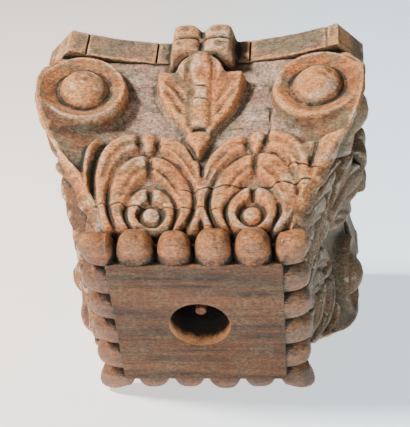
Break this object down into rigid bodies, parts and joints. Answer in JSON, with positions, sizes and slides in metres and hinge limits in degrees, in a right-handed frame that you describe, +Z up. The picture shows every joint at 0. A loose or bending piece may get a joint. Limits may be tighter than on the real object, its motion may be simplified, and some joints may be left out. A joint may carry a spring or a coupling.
{
  "type": "carved column capital",
  "caption": "Carved timber column capital: square beaded neck, flared bell with nested leaves and corner scrolls, hollow-sided abacus with flower blocks, round socket below.",
  "frame": {"origin": "centre of the square neck's underside, in the plane of the bed", "axes": "+Z up the capital's axis from the neck to the abacus, -Y out of the front carved side, +X to the right seen from the front"},
  "size_m": [0.3512, 0.3512, 0.275],
  "materials": {
    "carved_wood": "aged bare wood, worn warm on the raised carving, grey-green and limewashed in the hollows, satin on the beads",
    "dowel_wood": "bare dry wood"
  },
  "bodies": {
    "root": {"capital": "carved_wood", "dowel": "dowel_wood"}
  },
  "joints": []
}
